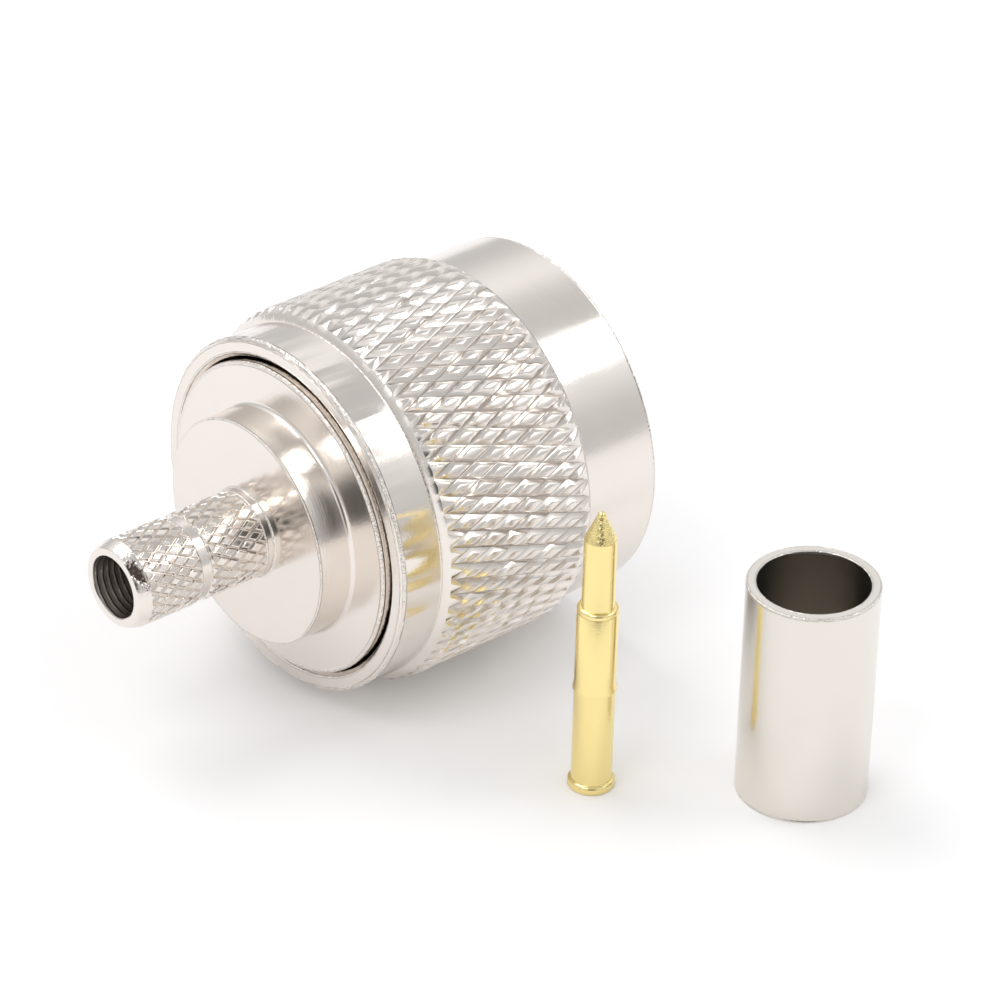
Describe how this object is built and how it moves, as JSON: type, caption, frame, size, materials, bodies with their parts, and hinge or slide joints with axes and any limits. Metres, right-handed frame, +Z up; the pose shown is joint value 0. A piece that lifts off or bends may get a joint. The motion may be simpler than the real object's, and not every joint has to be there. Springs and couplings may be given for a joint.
{
  "type": "n type connector",
  "caption": "Coaxial crimp plug with a knurled coupling nut that turns on a rear body with a knurled cable stem, with its loose gold contact pin and loose crimp ferrule.",
  "frame": {"origin": "on the surface that the kit rests on, under the middle of its footprint", "axes": "+X along the plug's axis towards its mating mouth, +Z up; the pin and the ferrule stand beside the plug towards -Y"},
  "size_m": [0.0286, 0.0366, 0.02],
  "materials": {
    "nickel_plate": "bright nickel plating on turned brass",
    "ferrule_nickel": "satin nickel plating on drawn brass tube",
    "gold_plate": "bright gold plating on turned brass",
    "ptfe": "waxy white turned PTFE",
    "silicone_rubber": "matt grey silicone rubber",
    "spring_bronze": "plain phosphor bronze"
  },
  "bodies": {
    "plug": {"crimp_body": "nickel_plate", "outer_contact": "nickel_plate", "insulator": "ptfe", "gasket": "silicone_rubber", "retaining_ring": "spring_bronze", "contact_pin": "gold_plate", "crimp_ferrule": "ferrule_nickel"},
    "nut": {"coupling_nut": "nickel_plate"}
  },
  "joints": [
    {"name": "nut_spin", "type": "hinge", "parent": "plug", "child": "nut", "pos_m": [0, 0.0083, 0.01], "axis": [1, 0, 0], "continuous": true}
  ]
}
